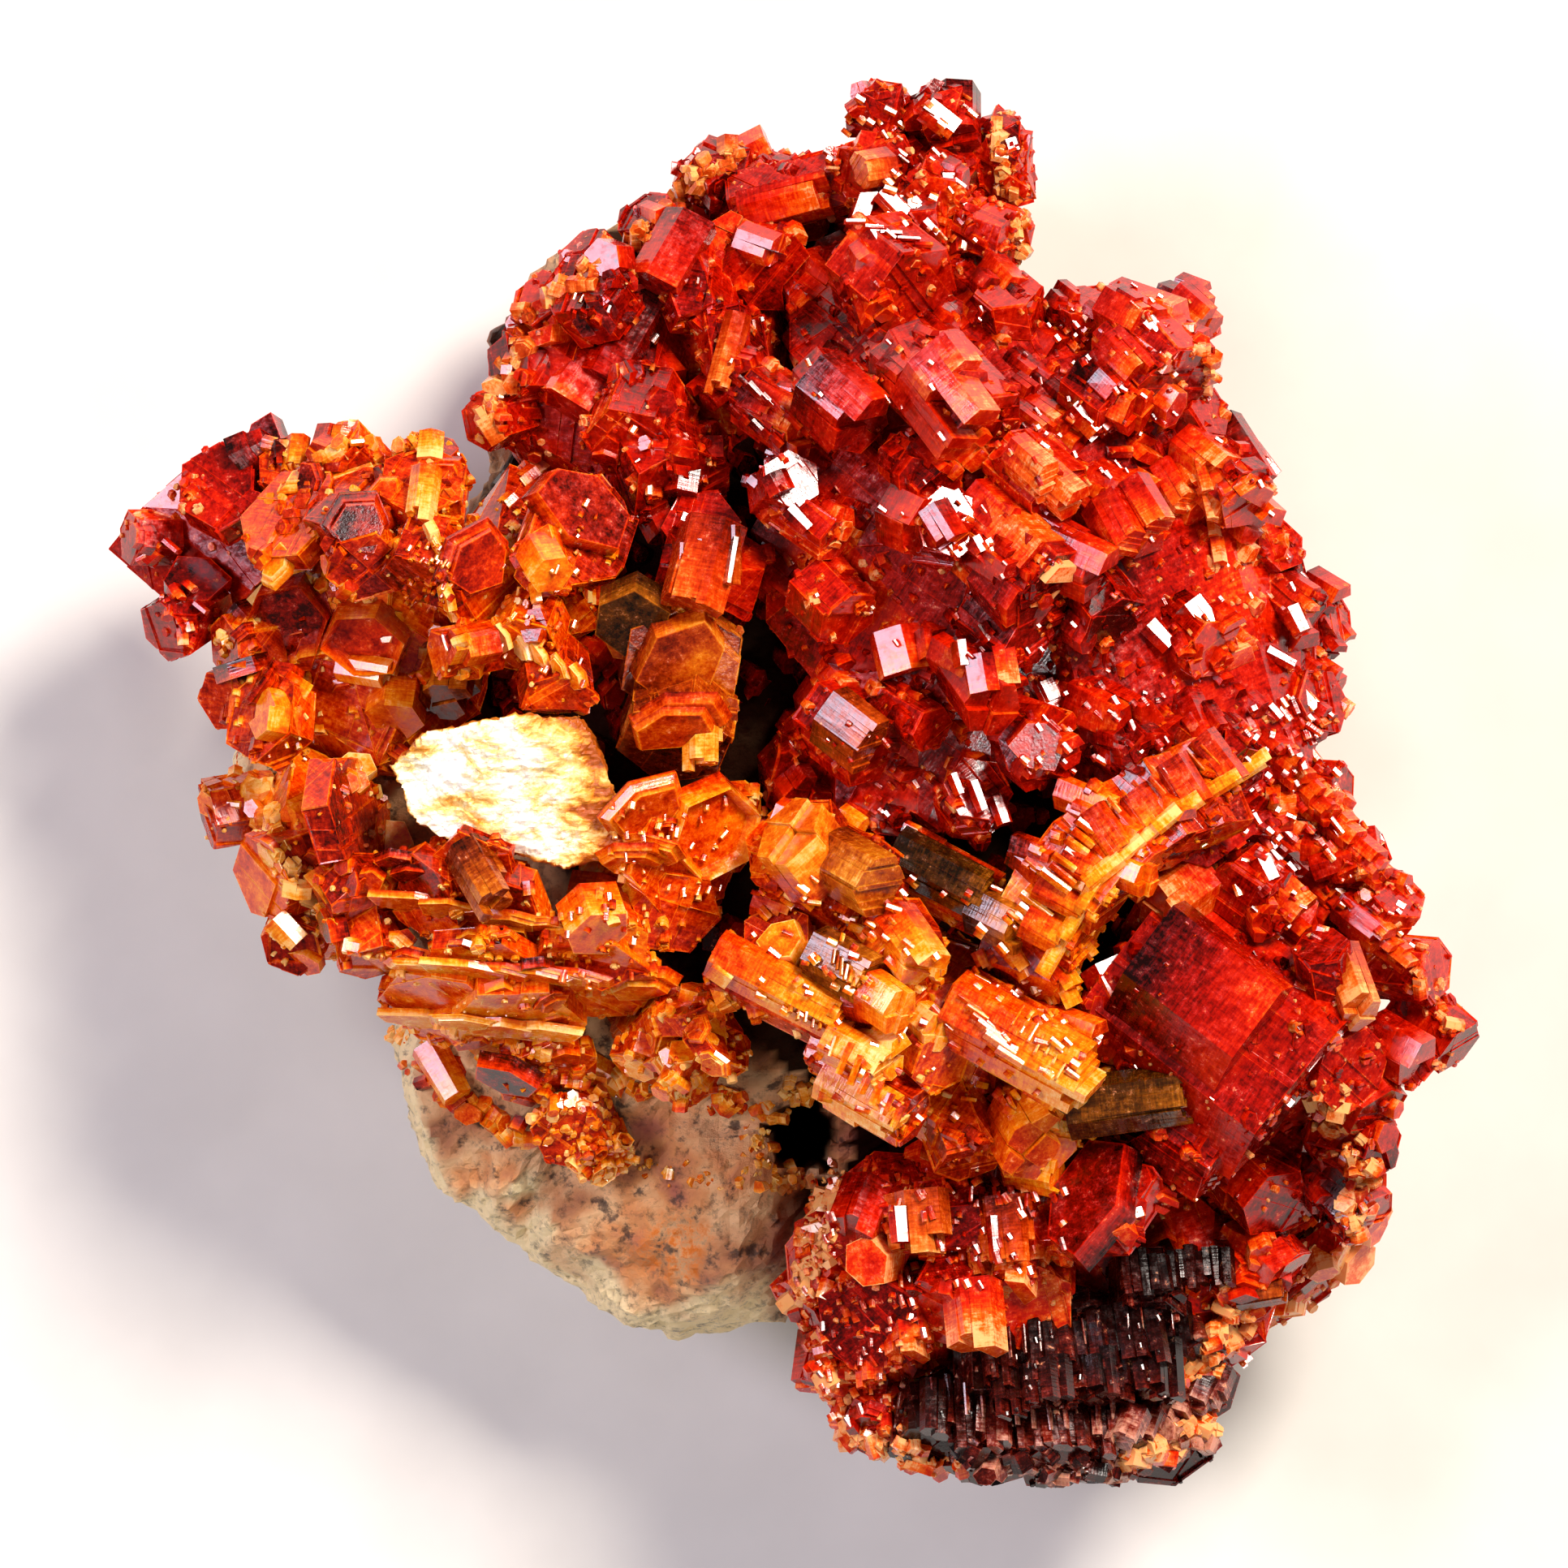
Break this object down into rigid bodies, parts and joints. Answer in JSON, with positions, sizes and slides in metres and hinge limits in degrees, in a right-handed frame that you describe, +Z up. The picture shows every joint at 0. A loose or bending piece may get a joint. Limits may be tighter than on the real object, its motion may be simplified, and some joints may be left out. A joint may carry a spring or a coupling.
{
  "type": "vanadinite on matrix",
  "caption": "Hand-sized mineral specimen: a lump of tan host rock with a thick crust of six-sided red and orange crystals and a pale chip, lying on a flat of the rock",
  "frame": {"origin": "middle of the flat on the underside of the host rock, in the plane that the specimen lies on", "axes": "+Z up through the crystals, +Y the long way of the specimen towards its top knob, +X towards its right-hand druse"},
  "size_m": [0.0439, 0.0452, 0.021],
  "materials": {
    "host_rock": "matte",
    "pale_chip": "matte",
    "red_crystal": "gloss",
    "orange_crystal": "gloss",
    "smoky_crystal": "gloss",
    "dark_crystal": "gloss"
  },
  "bodies": {
    "root": {"host_rock": "host_rock", "pale_chip": "pale_chip", "notched_plate": "smoky_crystal", "shiny_prism": "red_crystal", "middle_cluster": "orange_crystal", "ridge_blade": "orange_crystal", "red_slab": "red_crystal", "right_druse": "red_crystal", "upper_left_wall": "red_crystal", "top_knob": "red_crystal", "left_blades": "orange_crystal", "left_lobe": "red_crystal", "left_edge": "orange_crystal", "lower_plates": "orange_crystal", "rosette": "orange_crystal", "flank_crystals": "orange_crystal", "lower_bowl": "red_crystal", "dark_barrel": "dark_crystal", "right_lobes": "red_crystal"}
  },
  "joints": []
}
